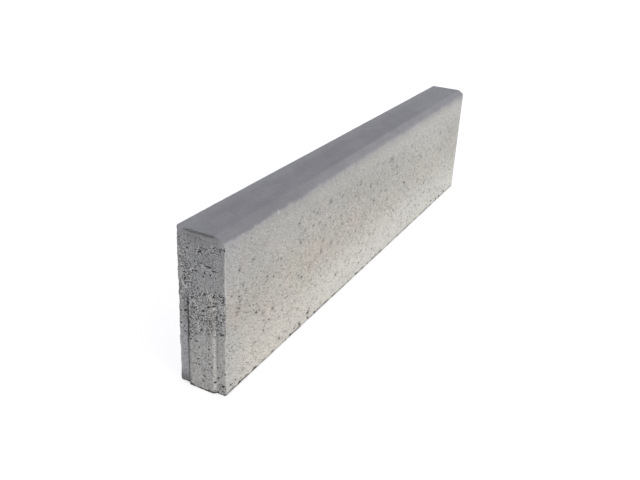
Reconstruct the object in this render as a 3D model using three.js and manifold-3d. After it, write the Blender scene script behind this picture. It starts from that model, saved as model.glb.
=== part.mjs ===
// Concrete edging kerb, laid upright end to end along a path or a lawn.
// One dry-pressed block: a long slab with one chamfered top arris, a round-headed tongue on its
// left end and the matching groove in its right end, so that neighbours can't shift sideways.
//
// Millimetres. X runs along the kerb, from the tongue end to the groove end. Y runs across it,
// with the chamfered face towards -Y. Z is up, and the bed that it stands on is at Z = 0.
// The origin is the middle of the bed.

import * as THREE from "three";
import { mergeVertices, toCreasedNormals } from "three/addons/utils/BufferGeometryUtils.js";
import Module from "manifold-3d";

// Block
const bodyLength = 1000; // joint face to joint face
const bodyWidth = 80;
const bodyHeight = 250;
const arrisRadius = 2; // the long arrises that have no chamfer
const endArris = 1; // soft edge round both joint faces

// Chamfered top arris, on the -Y side
const chamferWidth = 13; // taken off the top
const chamferDrop = 9; // taken off the face
const chamferTopRadius = 9; // where the chamfer runs into the top
const chamferFootRadius = 5; // where it runs into the face

// Tongue, and the groove that takes the next kerb's tongue
const tongueRootWidth = 49; // where it grows out of the joint face
const tongueNoseWidth = 40; // across its flat nose
const tongueProjection = 3.5;
const tongueNoseRadius = 1.5;
const tongueShankHeight = 142; // straight part, from the bed to the centre of its round head
const flankClearance = 1.5; // between a tongue and the groove round it
const noseClearance = 2; // between a tongue's nose and the groove's floor

// Faceting and cutting
const sectionCurveSegments = 4;
const headSegments = 64; // round a full turn of the tongue's head
const creaseAngle = THREE.MathUtils.degToRad(30);
const overrun = 5; // how far a joint form runs into the block, or a cutter runs out of it

const wasm = await Module();
wasm.setup();

// A closed three.js geometry as a solid that can be joined and cut.
function solidFrom(geometry) {
  const bare = geometry.clone();
  bare.deleteAttribute("normal");
  bare.deleteAttribute("uv");
  const merged = mergeVertices(bare, 1e-4);
  return new wasm.Manifold(
    new wasm.Mesh({
      numProp: 3,
      vertProperties: merged.attributes.position.array,
      triVerts: new Uint32Array(merged.index.array),
    }),
  );
}

// The solid's surface as a geometry, smooth over its curves and crisp at its edges.
function geometryFrom(solid) {
  const { vertProperties, triVerts } = solid.getMesh();
  const geometry = new THREE.BufferGeometry();
  geometry.setAttribute("position", new THREE.BufferAttribute(vertProperties, 3));
  geometry.setIndex(new THREE.BufferAttribute(triVerts, 1));
  return toCreasedNormals(geometry, creaseAngle);
}

// A closed outline through corners of { at, radius }, given anticlockwise, each rounded to its radius.
function roundedShape(corners) {
  const shape = new THREE.Shape();
  corners.forEach(({ at, radius }, i) => {
    const previous = corners.at(i - 1).at;
    const next = corners[(i + 1) % corners.length].at;
    const inward = previous.clone().sub(at).normalize();
    const onward = next.clone().sub(at).normalize();
    const halfAngle = Math.acos(inward.dot(onward)) / 2;
    const tangentLength = radius / Math.tan(halfAngle);
    const start = at.clone().addScaledVector(inward, tangentLength);
    const end = at.clone().addScaledVector(onward, tangentLength);
    const bisector = inward.clone().add(onward).normalize();
    const centre = at.clone().addScaledVector(bisector, radius / Math.sin(halfAngle));
    if (i === 0) shape.moveTo(start.x, start.y);
    else shape.lineTo(start.x, start.y);
    const startAngle = start.clone().sub(centre).angle();
    const endAngle = end.clone().sub(centre).angle();
    shape.absarc(centre.x, centre.y, radius, startAngle, endAngle, false);
  });
  shape.closePath();
  return shape;
}

// The block's cross-section: x across the kerb, y up.
function sectionShape() {
  const halfWidth = bodyWidth / 2;
  const corner = (x, y, radius) => ({ at: new THREE.Vector2(x, y), radius });
  return roundedShape([
    corner(-halfWidth, 0, arrisRadius),
    corner(halfWidth, 0, arrisRadius),
    corner(halfWidth, bodyHeight, arrisRadius),
    corner(-halfWidth + chamferWidth, bodyHeight, chamferTopRadius),
    corner(-halfWidth, bodyHeight - chamferDrop, chamferFootRadius),
  ]);
}

// The block without its joint: the section extruded along X, with soft edges at both ends.
function blockSolid() {
  const geometry = new THREE.ExtrudeGeometry(sectionShape(), {
    depth: bodyLength - 2 * endArris,
    curveSegments: sectionCurveSegments,
    bevelThickness: endArris,
    bevelSize: endArris,
    bevelOffset: -endArris,
    bevelSegments: 2,
  });
  const acrossUpAlong = new THREE.Matrix4().makeBasis(
    new THREE.Vector3(0, 1, 0),
    new THREE.Vector3(0, 0, 1),
    new THREE.Vector3(1, 0, 0),
  );
  geometry.applyMatrix4(acrossUpAlong);
  geometry.translate(-bodyLength / 2 + endArris, 0, 0);
  return solidFrom(geometry);
}

// Half of the tongue's plan, from its centre line: x across, y out of the joint face.
function halfPlan(rootHalfWidth, noseHalfWidth, projection) {
  const noseCorner = new THREE.Vector2(noseHalfWidth, projection);
  const root = new THREE.Vector2(rootHalfWidth, 0);
  const alongFlank = root.clone().sub(noseCorner).normalize();
  const turn = Math.acos(alongFlank.x);
  const tangentLength = tongueNoseRadius * Math.tan(turn / 2);
  const path = new THREE.Path();
  path.moveTo(0, projection);
  path.lineTo(noseCorner.x - tangentLength, projection);
  path.absarc(
    noseCorner.x - tangentLength,
    projection - tongueNoseRadius,
    tongueNoseRadius,
    Math.PI / 2,
    Math.PI / 2 - turn,
    true,
  );
  path.lineTo(root.x, root.y);
  path.lineTo(root.x, -overrun);
  path.lineTo(0, -overrun);
  return path.getPoints(sectionCurveSegments);
}

// The joint's form, pointing along -X out of a joint face at X = 0. It is a straight shank under a
// round head, both with the same sloping flanks. The groove's form is a tongue grown by the
// clearances, and it runs out below the bed.
function jointForm({ flankGrowth, noseGrowth, below }) {
  const plan = halfPlan(
    tongueRootWidth / 2 + flankGrowth,
    tongueNoseWidth / 2 + flankGrowth,
    tongueProjection + noseGrowth,
  );
  const mirrored = plan.slice(1, -1).map((p) => new THREE.Vector2(-p.x, p.y));
  const shank = new THREE.ExtrudeGeometry(new THREE.Shape([...mirrored, ...plan.slice().reverse()]), {
    depth: tongueShankHeight + below,
    bevelEnabled: false,
  });
  shank.translate(0, 0, -below);
  const head = new THREE.LatheGeometry(plan.slice().reverse(), headSegments);
  head.translate(0, 0, tongueShankHeight);
  const acrossOutUp = new THREE.Matrix4().makeBasis(
    new THREE.Vector3(0, 1, 0),
    new THREE.Vector3(-1, 0, 0),
    new THREE.Vector3(0, 0, 1),
  );
  return solidFrom(shank.applyMatrix4(acrossOutUp)).add(solidFrom(head.applyMatrix4(acrossOutUp)));
}

function kerbSolid() {
  const tongue = jointForm({ flankGrowth: 0, noseGrowth: 0, below: 0 });
  const groove = jointForm({ flankGrowth: flankClearance, noseGrowth: noseClearance, below: overrun });
  return blockSolid()
    .add(tongue.translate([-bodyLength / 2, 0, 0]))
    .subtract(groove.translate([bodyLength / 2, 0, 0]));
}

const concrete = new THREE.MeshStandardMaterial({
  color: 0xb4b1ab,
  roughness: 0.95,
  metalness: 0,
});

const kerbStone = new THREE.Mesh(geometryFrom(kerbSolid()), concrete);
kerbStone.name = "kerb_stone";

const kerb = new THREE.Group();
kerb.add(kerbStone);

export default kerb;
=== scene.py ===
import math
import random
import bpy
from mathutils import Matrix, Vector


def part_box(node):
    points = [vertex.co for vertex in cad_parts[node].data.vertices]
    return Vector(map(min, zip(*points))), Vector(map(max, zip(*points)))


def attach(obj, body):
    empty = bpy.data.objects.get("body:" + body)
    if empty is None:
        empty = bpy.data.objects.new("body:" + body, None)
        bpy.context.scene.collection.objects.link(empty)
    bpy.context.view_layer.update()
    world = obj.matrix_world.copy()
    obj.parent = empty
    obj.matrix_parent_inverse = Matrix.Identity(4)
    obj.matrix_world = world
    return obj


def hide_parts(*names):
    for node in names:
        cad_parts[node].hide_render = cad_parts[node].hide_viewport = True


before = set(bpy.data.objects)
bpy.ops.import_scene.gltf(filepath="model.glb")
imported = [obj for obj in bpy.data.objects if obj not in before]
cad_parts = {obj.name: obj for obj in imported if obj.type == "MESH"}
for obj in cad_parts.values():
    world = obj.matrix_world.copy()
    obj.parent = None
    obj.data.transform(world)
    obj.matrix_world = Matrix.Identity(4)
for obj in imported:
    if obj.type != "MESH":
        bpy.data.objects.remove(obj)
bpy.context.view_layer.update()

from types import SimpleNamespace

import bmesh
import bpy
from mathutils import Matrix, Vector, noise

MM = 0.001

# ---------------------------------------------------------------------------------------------
# Camera. It stands off the tongue end, on the side of the chamfered face, and looks down.

CAMERA_PLACE = Vector((-1.1686, -0.5166, 0.6468))
CAMERA_AIM = Vector((-0.2319, -0.0373, 0.1936))
CAMERA_ROLL = math.radians(2.97)
CAMERA_LENS = 39.68  # mm, on Blender's 36 mm sensor
CAMERA_SHIFT_Y = -0.047


def place_camera():
    lens = bpy.data.cameras.new("camera")
    lens.lens = CAMERA_LENS
    lens.shift_y = CAMERA_SHIFT_Y
    camera = bpy.data.objects.new("camera", lens)
    look = (CAMERA_AIM - CAMERA_PLACE).to_track_quat("-Z", "Y").to_matrix().to_4x4()
    roll = Matrix.Rotation(CAMERA_ROLL, 4, "Z")
    camera.matrix_world = Matrix.Translation(CAMERA_PLACE) @ look @ roll
    bpy.context.scene.collection.objects.link(camera)
    bpy.context.scene.camera = camera


place_camera()

# ---------------------------------------------------------------------------------------------
# The moulded block, in metres, in the frame's own axes: X along, Y across, Z up.

CAST_NODE = "kerb_stone"
LOW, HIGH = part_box(CAST_NODE)
TONGUE_PROJECTION = 3.5 * MM
TONGUE_FACE_X = LOW.x + TONGUE_PROJECTION  # the joint face round the tongue
NOSE_X = LOW.x
NOSE_HALF_WIDTH = 20 * MM
ROOT_HALF_WIDTH = 24.5 * MM
TONGUE_HEAD_Z = 142 * MM  # centre of the tongue's round head
GROOVE_FACE_X = HIGH.x
GROOVE_DEPTH = 5.5 * MM
GROOVE_FLOOR_HALF_WIDTH = 21.5 * MM
GROOVE_MOUTH_HALF_WIDTH = 26 * MM
FACE_Y = LOW.y  # the chamfered side
BACK_Y = HIGH.y
TOP_Z = HIGH.z
CHAMFER_FOOT_Z = TOP_Z - 9 * MM

# The net that the block's faces are cut into, so that they can be worn down.
SKIN_STEP = 9 * MM  # over the plain middle of the long faces
ARRIS_REACH = 8 * MM  # this near to a long arris the net is finer
ARRIS_STEP = 3.5 * MM
CHAMFER_REACH = 19.2 * MM  # across the top from the chamfered face, past the chamfer
BED_ROWS = (2.7 * MM, 5.3 * MM)  # rows beside the bed's arrises, by their height
TOP_ROW = 3 * MM  # from a long side
CHAMFER_ROW = 4 * MM  # below the chamfer's foot
END_REACH = 12 * MM  # this near to an end too
END_BAND_STEP = 2 * MM
TONGUE_END_STEP = 1 * MM
GROOVE_END_STEP = 2 * MM
INNER = (TONGUE_FACE_X + END_REACH, GROOVE_FACE_X - END_REACH)
TOUCHING = 0.001 * MM  # points this near to each other are one


def spread(low, high, step):
    """Places strictly between low and high, about a step apart."""
    count = max(1, round((high - low) / step))
    return [low + (high - low) * i / count for i in range(1, count)]


def cut_across(block, faces, axis, places):
    """Cuts the faces by planes across an axis, at each of the places, the middle one first."""
    if not places or not faces:
        return
    edges = {e for f in faces for e in f.edges}
    verts = {v for f in faces for v in f.verts}
    region = list(verts) + list(edges) + list(faces)
    middle = len(places) // 2
    at = places[middle]
    normal = Vector((0, 0, 0))
    normal[axis] = 1
    cut = bmesh.ops.bisect_plane(block, geom=region, plane_co=normal * at, plane_no=normal, dist=TOUCHING)
    pieces = [g for g in cut["geom"] if isinstance(g, bmesh.types.BMFace)]
    before = [f for f in pieces if f.calc_center_median()[axis] < at]
    after = [f for f in pieces if f.calc_center_median()[axis] >= at]
    cut_across(block, before, axis, places[:middle])
    cut_across(block, after, axis, places[middle + 1 :])


def off_end(place):
    return min(place.x - TONGUE_FACE_X, GROOVE_FACE_X - place.x)


def off_side(place):
    return min(place.y - FACE_Y, BACK_Y - place.y)


def is_end(face):
    """Of an end, with the flanks of its tongue or groove."""
    return abs(face.normal.x) > 0.25


def is_upright(face):
    return not is_end(face) and abs(face.normal.y) > 0.5


def is_level(face):
    return not is_end(face) and abs(face.normal.z) > 0.5


def by_end(face):
    return off_end(face.calc_center_median()) < END_REACH


def by_long_arris(face):
    """Within reach of the bed's arrises, the top's back arris or the chamfer."""
    place = face.calc_center_median()
    at_bed = place.z < ARRIS_REACH and off_side(place) < ARRIS_REACH
    at_back = TOP_Z - place.z < ARRIS_REACH and BACK_Y - place.y < ARRIS_REACH
    at_chamfer = CHAMFER_FOOT_Z - place.z < ARRIS_REACH and place.y - FACE_Y < CHAMFER_REACH
    return at_bed or at_back or at_chamfer


def chosen(block, fits):
    """The faces that fit, by normals that are up to date."""
    block.normal_update()
    return [f for f in block.faces if fits(f)]


def cut_long_faces(block):
    rings = [INNER[0]] + spread(*INNER, SKIN_STEP) + [INNER[1]]
    cut_across(block, chosen(block, lambda f: not is_end(f)), 0, rings)
    up = [*BED_ROWS, ARRIS_REACH]
    up += spread(ARRIS_REACH, CHAMFER_FOOT_Z - ARRIS_REACH, SKIN_STEP)
    up += [CHAMFER_FOOT_Z - ARRIS_REACH, CHAMFER_FOOT_Z - CHAMFER_ROW]
    cut_across(block, chosen(block, is_upright), 2, up)
    across = [FACE_Y + TOP_ROW, FACE_Y + ARRIS_REACH]
    across += spread(FACE_Y + ARRIS_REACH, BACK_Y - ARRIS_REACH, SKIN_STEP)
    across += [BACK_Y - ARRIS_REACH, BACK_Y - TOP_ROW]
    cut_across(block, chosen(block, is_level), 1, across)
    arrises = chosen(block, lambda f: not is_end(f) and by_long_arris(f))
    cut_across(block, arrises, 0, spread(*INNER, ARRIS_STEP))


def cut_end_bands(block):
    rings = spread(TONGUE_FACE_X, INNER[0], END_BAND_STEP)
    rings += spread(INNER[1], GROOVE_FACE_X, END_BAND_STEP)
    cut_across(block, chosen(block, lambda f: not is_end(f) and by_end(f)), 0, rings)
    upright = chosen(block, lambda f: by_end(f) and is_upright(f))
    cut_across(block, upright, 2, spread(0, TOP_Z, END_BAND_STEP))
    level = chosen(block, lambda f: by_end(f) and is_level(f))
    cut_across(block, level, 1, spread(FACE_Y, BACK_Y, END_BAND_STEP))


def cut_ends(block):
    for side, step in ((-1, TONGUE_END_STEP), (1, GROOVE_END_STEP)):
        for axis, places in ((2, spread(0, TOP_Z, step)), (1, spread(FACE_Y, BACK_Y, step))):
            end = chosen(block, lambda f: is_end(f) and f.normal.x * side > 0)
            cut_across(block, end, axis, places)


def moulded_block():
    """The cast form with its flat faces whole, then cut into the net."""
    block = bmesh.new()
    block.from_mesh(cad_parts[CAST_NODE].data)
    bmesh.ops.remove_doubles(block, verts=block.verts, dist=TOUCHING)
    bmesh.ops.dissolve_limit(block, angle_limit=math.radians(1), verts=block.verts, edges=block.edges)
    cut_long_faces(block)
    cut_end_bands(block)
    cut_ends(block)
    bmesh.ops.triangulate(block, faces=block.faces)
    block.normal_update()
    return block


# ---------------------------------------------------------------------------------------------
# Wear and grain, as depths that the surface is let in by. Nothing stands proud of the mould.


def ramp(value, low, high):
    """0 below low and 1 above high, with a soft rise between."""
    t = min(1.0, max(0.0, (value - low) / (high - low)))
    return t * t * (3 - 2 * t)


def band(value, low, high, soft):
    return ramp(value, low - soft, low + soft) * (1 - ramp(value, high - soft, high + soft))


def lumps(place, size, seed):
    """Smooth noise from 0 to 1, with lumps about that size."""
    return 0.5 + 0.5 * noise.noise(place / size + Vector((seed, 7.3 * seed, -3.1 * seed)))


def tongue_reach(across, up):
    """How far a point of an end face is from the middle line of the tongue."""
    return abs(across) if up < TONGUE_HEAD_Z else math.hypot(across, up - TONGUE_HEAD_Z)


def openness(place):
    """How loosely the mix is packed at an end face, from 0, closed, to 1, open. The mould is filled
    and rammed in layers, so the open parts lie in bands."""
    across = place.y + 4 * MM * (lumps(place, 14 * MM, 12) - 0.5)
    height = place.z + 5 * MM * (lumps(place, 22 * MM, 11) - 0.5)
    patches = 0.6 + 0.4 * ramp(lumps(place, 11 * MM, 13), 0.36, 0.6)
    open_layer = band(height + 0.33 * across, 214.5 * MM, 226 * MM, 2 * MM)
    open_layer *= (0.7 + 0.3 * ramp(across, -33 * MM, -26 * MM)) * (1 - ramp(across, 2 * MM, 9 * MM))
    slanted = 0.6 * band(height - 0.05 * across, 192 * MM, 205 * MM, 3 * MM)
    slanted *= band(across, -27 * MM, 8 * MM, 5 * MM)
    back_strip = 0.5 * band(height, 190 * MM, 240 * MM, 5 * MM) * ramp(across, 13 * MM, 24 * MM)
    back_half = 0.9 * band(height, 160 * MM, 198 * MM, 4 * MM) * ramp(across, 2 * MM, 14 * MM)
    back_half *= 1 - 0.7 * ramp(across, 30 * MM, 36 * MM)
    foot = 94 * MM - 14 * MM * ramp(across, 0, 20 * MM)
    middle = 0.95 * band(height, foot, 164 * MM, 3 * MM)
    rammed_patch = 1 - ramp(math.hypot(across + 33 * MM, height - 143 * MM), 5 * MM, 9 * MM)
    rammed_strip = ramp(across, 25 * MM, 29 * MM) * (1 - ramp(height, 126 * MM, 140 * MM))
    middle *= 1 - 0.75 * max(rammed_patch, rammed_strip)
    tongue_head = band(height, 138 * MM, 172 * MM, 5 * MM) * band(across, -20 * MM, 9 * MM, 4 * MM)
    middle *= 1 - 0.3 * tongue_head
    lower = 0.3 * band(height, 30 * MM, 65 * MM, 5 * MM) * band(across, -20 * MM, 2 * MM, 4 * MM)
    corner = 0.7 * band(height, 5 * MM, 21 * MM, 2 * MM) * (1 - ramp(across, -29 * MM, -22 * MM))
    parts = (open_layer, slanted, back_strip * patches, back_half * patches, middle * patches, lower, corner)
    return min(1.0, max(0.1, *parts))


def gap(place, loose):
    """Ragged gaps between the crumbs of mix at an end face, from 0 to 1. They lie 16 degrees aslant,
    and are more and wider where the mix is loose."""
    along = 0.96 * place.y + 0.28 * place.z
    up = 0.96 * place.z - 0.28 * place.y
    spot = Vector((along / (2.3 * MM), up / (1.35 * MM), 3.7))
    height = noise.noise(spot) + 0.35 * noise.noise(spot * 2.1 + Vector((9, 4, 1)))
    limit = 0.56 - 0.36 * loose
    return ramp(height, limit, limit + 0.14)


def end_depth(place):
    """Open mix: gaps between crumbs, and crumbs and sand that stand lower the looser it is."""
    loose = openness(place)
    sunk = lumps(place, 6 * MM, 3) ** 2
    distances, _ = noise.voronoi(place / (4 * MM))
    crumbs = 1 - ramp(distances[1] - distances[0], 0.02, 0.42)
    fine = lumps(place, 2.3 * MM, 4)
    waves = 0.15 * lumps(place, 40 * MM, 1)
    gaps = gap(place, loose) * (0.6 + 0.8 * lumps(place, 5 * MM, 8))
    return (waves + 0.1 * fine + 1.9 * gaps + loose * (0.55 * sunk + 0.6 * crumbs + 0.7 * fine)) * MM


def skin_depth(place):
    """Slight waves and sand on the long faces, and a worn line at the chamfer's foot."""
    waves = 0.3 * lumps(place, 90 * MM, 1) + 0.2 * lumps(place, 24 * MM, 2)
    foot = 1 - ramp(abs(place.z - CHAMFER_FOOT_Z), 1 * MM, 5 * MM)
    foot *= place.y < FACE_Y + 4 * MM
    return (waves + 0.12 * lumps(place, 6 * MM, 5) + 0.7 * foot * lumps(place, 9 * MM, 7)) * MM


def arris_depth(place):
    """Extra wear at the arrises: slight along the top, more at the bed and up the back."""
    reach = 3.5 * MM
    to_end = max(0.0, off_end(place))
    to_back = BACK_Y - place.y
    to_side = off_side(place)
    bed = 1 - ramp(max(place.z, min(to_side, to_end)), 0, reach)
    upright = 1 - ramp(max(to_side, to_end), 0, reach)
    upper = 1 - ramp(max(TOP_Z - place.z, min(to_back, to_end)), 0, reach)
    nibble = lumps(place, 7 * MM, 21) ** 2 + 0.6 * lumps(place, 3 * MM, 22) ** 2
    swing = ramp(lumps(place, 16 * MM, 23), 0.35, 0.7)
    sideways = (1.0 + 1.8 * swing) if place.y > 0 else 0.8
    return (0.8 * bed + sideways * upright + 0.5 * upper) * nibble * MM


# The back top corner of the tongue end is worn down to a plane through this point.
CORNER_REST = Vector((TONGUE_FACE_X, BACK_Y - 12 * MM, TOP_Z))
CORNER_SLOPE = Vector((-0.5, 0.15, 0.85)).normalized()


def corner_depth(place):
    """How far a point stands over that plane."""
    return max(0.0, (place - CORNER_REST).dot(CORNER_SLOPE))


def wear_down(block):
    """Lets every point in by its wear, worked out before any of them moves."""
    moves = []
    for v in block.verts:
        grain = end_depth(v.co) if abs(v.normal.x) > 0.5 else skin_depth(v.co)
        worn = v.co - v.normal * (grain + arris_depth(v.co))
        moves.append((v, worn - CORNER_SLOPE * corner_depth(worn)))
    for v, place in moves:
        v.co = place


# ---------------------------------------------------------------------------------------------
# Air voids and chipped arrises, cut out of the block.

# What a face belongs to, by its material index while the kerb is being made, and how dark it is
# from 0 to 1, as painted shade and dirt: the moulded block, the walls of voids, the walls of chips.
KINDS = (0.0, 1.0, 0.5)
VOID = 1
CHIP = 2
HOLLOW_SPACING = 1.12  # hollows keep this much of their own room apart
DETAILED_FROM = 3 * MM  # hollows this wide or high have more faces


class Hollows:
    """Rounded, lumpy cutters that keep clear of each other."""

    def __init__(self, seed):
        self.cutters = bmesh.new()
        self.random = random.Random(seed)
        self.taken = []

    def claim(self, place, axis, longer, shorter, margin):
        """Takes the room of a hollow, as a row of balls along its longer way, if all of it is free."""
        count = max(1, round(longer / shorter))
        reach = 0.5 * max(shorter, longer / count) * margin
        row = [place + axis * longer * ((i + 0.5) / count - 0.5) for i in range(count)]
        for ball in row:
            for other, room in self.taken:
                if (ball - other).length < (reach + room) * HOLLOW_SPACING:
                    return False
        self.taken += [(ball, reach) for ball in row]
        return True

    def sink(self, place, outward, width, height, depth, tilt=0.0, lumpy=0.4, detail=0):
        """Adds a hollow of that width and height that goes that deep, or does nothing where one is.
        It is a ball of 1.5 depths, set a quarter of a depth in."""
        level = Vector((0, 0, 1)) if abs(outward.z) < 0.9 else Vector((1, 0, 0))
        side = level.cross(outward).normalized()
        turn = Matrix((side, outward.cross(side), outward)).transposed() @ Matrix.Rotation(tilt, 3, "Z")
        axis = turn.col[0] if width > height else turn.col[1]
        shorter = max(depth, min(width, height))
        if not self.claim(place, axis, max(width, height, depth), shorter, 1 + 0.7 * lumpy):
            return False
        detail = detail or (2 if max(width, height) > DETAILED_FROM else 1)
        ball = bmesh.ops.create_icosphere(self.cutters, subdivisions=detail, radius=0.5)
        seed = Vector([self.random.uniform(-50, 50) for _ in range(3)])
        size = Vector((width, height, 1.5 * depth))
        centre = place - outward * depth * 0.25
        for v in ball["verts"]:
            swell = 1 + lumpy * (noise.noise(v.co * 2.6 + seed) + 0.5 * noise.noise(v.co * 6 + seed))
            v.co = centre + turn @ (v.co * swell * size)
        return True

    def cut_from(self, piece, kind):
        """Cuts the hollows out, and leaves the kind as the material index of their walls."""
        mesh = bpy.data.meshes.new("hollows")
        self.cutters.to_mesh(mesh)
        self.cutters.free()
        for _ in KINDS:
            mesh.materials.append(None)
        mesh.polygons.foreach_set("material_index", [kind] * len(mesh.polygons))
        tool = bpy.data.objects.new("hollows", mesh)
        bpy.context.scene.collection.objects.link(tool)
        cut = piece.modifiers.new("hollows", "BOOLEAN")
        cut.operation = "DIFFERENCE"
        cut.solver = "MANIFOLD"
        cut.object = tool
        evaluated = piece.evaluated_get(bpy.context.evaluated_depsgraph_get())
        carved = bpy.data.meshes.new_from_object(evaluated)
        piece.modifiers.clear()
        piece.data = carved
        bpy.data.objects.remove(tool)


# Voids that catch the eye, in mm: along and up for the chamfered face, as distance from the
# joint face; across from the middle and up for the tongue end. Then width, height and tilt in
# degrees.
FACE_VOIDS = (
    (63, 225, 3.2, 1.4, -28),
    (68, 190.5, 5.5, 1.7, -12),
    (33, 189, 5, 1.8, -20),
    (197, 197, 4, 1.7, -24),
    (243, 200, 5.5, 1.3, -28),
    (257, 193, 4.5, 1.7, -12),
    (302, 197, 5.5, 1.7, -12),
    (418, 190, 4, 1.9, -26),
    (145, 159, 5.5, 1.7, -14),
    (77, 100, 6, 2.6, -20),
    (210, 97, 5.5, 2.2, -22),
    (200, 105, 5, 2, -20),
    (237, 107, 3.2, 1.4, -22),
    (114, 69.5, 4.6, 2, -20),
    (99, 75, 4.2, 1.3, -28),
    (74, 50, 3.4, 1.7, -18),
    (97, 58, 3.4, 1.3, -20),
    (150, 67, 3.8, 1.3, -16),
    (338, 43, 6, 2.4, -20),
    (486, 135, 5, 2.2, -20),
    (480, 68, 5, 1.8, -22),
    (505, 67, 5, 1.7, -14),
    (496, 29.5, 6.5, 2.4, -20),
    (300, 88, 3, 1.7, -22),
    (315, 72, 3.4, 1.4, -28),
    (342, 107, 4, 1.4, -28),
    (385, 103, 4, 1.7, -20),
    (562, 198, 5, 1.9, -26),
    (592, 174, 4.4, 1.7, -20),
    (577, 160, 5, 1.3, -14),
    (642, 124, 6.5, 2.2, -22),
    (595, 77, 5, 1.9, -14),
    (587, 65, 3.6, 1.9, -18),
    (683, 60, 5, 1.7, -24),
    (685, 20, 5, 1.7, -14),
    (772, 81, 5, 1.8, -20),
    (755, 33, 5.5, 2, -24),
    (853, 178, 5.5, 2, -20),
    (86, 99, 4, 1.6, -20),
    (33, 148, 4.4, 1.8, -20),
    (106, 146, 5, 1.8, -20),
    (33, 129, 4.6, 1.8, -20),
    (41, 21, 4, 1.8, -20),
    (24, 15, 4, 1.8, -20),
    (244, 176, 4.6, 1.8, -20),
    (14, 158, 3.6, 1.8, -20),
)
END_VOIDS = (
    (1.5, 219.3, 6.4, 3, 12),
    (8, 221.5, 4, 1.4, 10),
    (22, 220, 4, 2.4, 0),
    (36, 221, 4.5, 1.6, -5),
    (25.5, 230, 3, 1.6, 25),
    (-32, 230, 2.6, 2.4, 40),
    (-38, 231, 3, 3.2, 0),
    (1, 202.5, 5, 2.2, -15),
    (-13, 200.3, 10, 2.6, -6),
    (-21.5, 196.4, 7, 2.6, 12),
    (2, 197.5, 3, 1.8, -20),
    (9.7, 203.5, 2, 4, 15),
    (35, 203.5, 3.4, 2, 35),
    (8, 189, 8, 1.6, 20),
    (26, 194, 4, 1.8, 25),
    (24, 188, 3, 2, 60),
    (-16, 189.5, 2.2, 3.4, 0),
    (-6.5, 190, 2, 5, 0),
    (-4, 183.5, 3.4, 2.6, 0),
    (-15.5, 184, 3, 1.6, 25),
    (-24, 187, 2.6, 1.8, 30),
    (28.5, 181.5, 5.5, 2, 20),
    (21, 180, 5, 1.6, 25),
    (8, 174.5, 3, 1.8, 0),
    (28.5, 170.5, 3, 4.4, -25),
    (18, 168.5, 5.5, 2.2, 20),
    (6.5, 169, 2, 3, 0),
    (27, 164, 4, 2, 15),
    (21.5, 163, 3, 2.2, 20),
    (16, 165, 3, 2, 30),
    (5, 164, 2.4, 2.4, 0),
    (-31, 160.5, 6, 3, -25),
    (-20, 157, 4, 2.6, 25),
    (-35, 152.5, 5, 2.4, -15),
    (-32, 133, 4, 2.6, 50),
    (28.5, 121, 4.6, 3.4, 0),
    (36, 131, 3, 2, 0),
    (36, 118.5, 4.5, 2, 25),
    (-27, 107, 2, 4.6, -15),
    (-28.5, 102, 2, 2.4, 0),
    (-33.2, 101, 4.6, 2.8, 15),
    (-24, 122, 2.4, 2.2, 0),
    (-31, 122, 3, 1.6, 0),
    (32, 64.5, 3, 2, -20),
    (28.5, 63.5, 2.4, 1.6, 0),
    (30.5, 55.5, 2.6, 3, 0),
    (-27.5, 28, 5, 2.4, 25),
    (-22.3, 19.5, 3.8, 4, 0),
    (-34.5, 15.5, 3, 6, -10),
    (-28, 17, 3, 2, 0),
    (-38, 19, 2.4, 2.4, 0),
    (-28.5, 39, 1.8, 2.6, 0),
    (-38.5, 38, 2, 4, 0),
    (-26, 45, 2, 4, 0),
    (29.5, 86, 3, 3, 0),
    (36.2, 98.5, 4.6, 2.6, 20),
    (24, 134, 3, 6, 0),
    (22.5, 132, 4, 2.4, -20),
    (-22.5, 143.5, 7, 2.6, 5),
    (22, 107, 5, 2, 12),
    (22, 84, 2.4, 3, 0),
    (23, 76, 3.4, 2.6, 0),
    (-21.5, 62.5, 3.5, 1.6, 20),
    (-7.8, 159.1, 3.2, 3.6, 0),
    (13.6, 147.8, 5.4, 3, -10),
    (7.7, 147.6, 3, 1.6, 10),
    (-14.2, 141.1, 4.6, 3, 25),
    (12.2, 133.6, 2, 4, 0),
    (6.2, 131.1, 2.4, 2.4, 0),
    (-6.3, 133.1, 4.4, 3.2, 0),
    (12.2, 126.6, 4.5, 2, -40),
    (-3.8, 118.6, 3, 2.6, 0),
    (1.2, 124.6, 2.4, 2, 30),
    (-15.8, 119.6, 4, 1.8, 30),
    (-19.3, 112.1, 3, 1.8, 0),
    (-1.8, 101.4, 3.2, 5, -20),
    (-5.3, 99.6, 3, 1.8, 0),
    (-13.3, 98.1, 4.2, 2.2, -12),
    (-9.8, 101.1, 4, 1.6, 0),
    (-18.8, 105.6, 4, 1.8, -10),
    (17.2, 79.6, 4, 2.4, -20),
    (7.2, 79.6, 9, 2.2, 12),
    (14.2, 74.1, 3, 2, 10),
    (-14.3, 73.6, 5, 2, 15),
    (-13.8, 77.6, 3, 1.4, 15),
    (2.2, 71.1, 3.4, 2, 20),
    (-9.8, 65.1, 3, 1.6, 20),
    (-12.8, 62.6, 3, 1.6, 20),
    (-7.8, 56.6, 3, 2.6, 20),
    (-14.8, 49.1, 6, 2, 10),
    (-18.3, 44.1, 3.4, 1.8, -20),
    (5.2, 50.6, 5, 2, 20),
    (10.2, 59.1, 2.4, 1.6, 0),
    (8.2, 41.8, 2.6, 2.2, 0),
    (3.7, 41.9, 3.2, 2.8, 0),
    (11.7, 40.6, 2.4, 2, 20),
    (-6.8, 37.1, 4, 2, 12),
    (-11.8, 37.1, 3, 2, 10),
    (-5.8, 25.1, 4.6, 2.8, -5),
    (-3.8, 16.1, 5, 1.8, 0),
)
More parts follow.
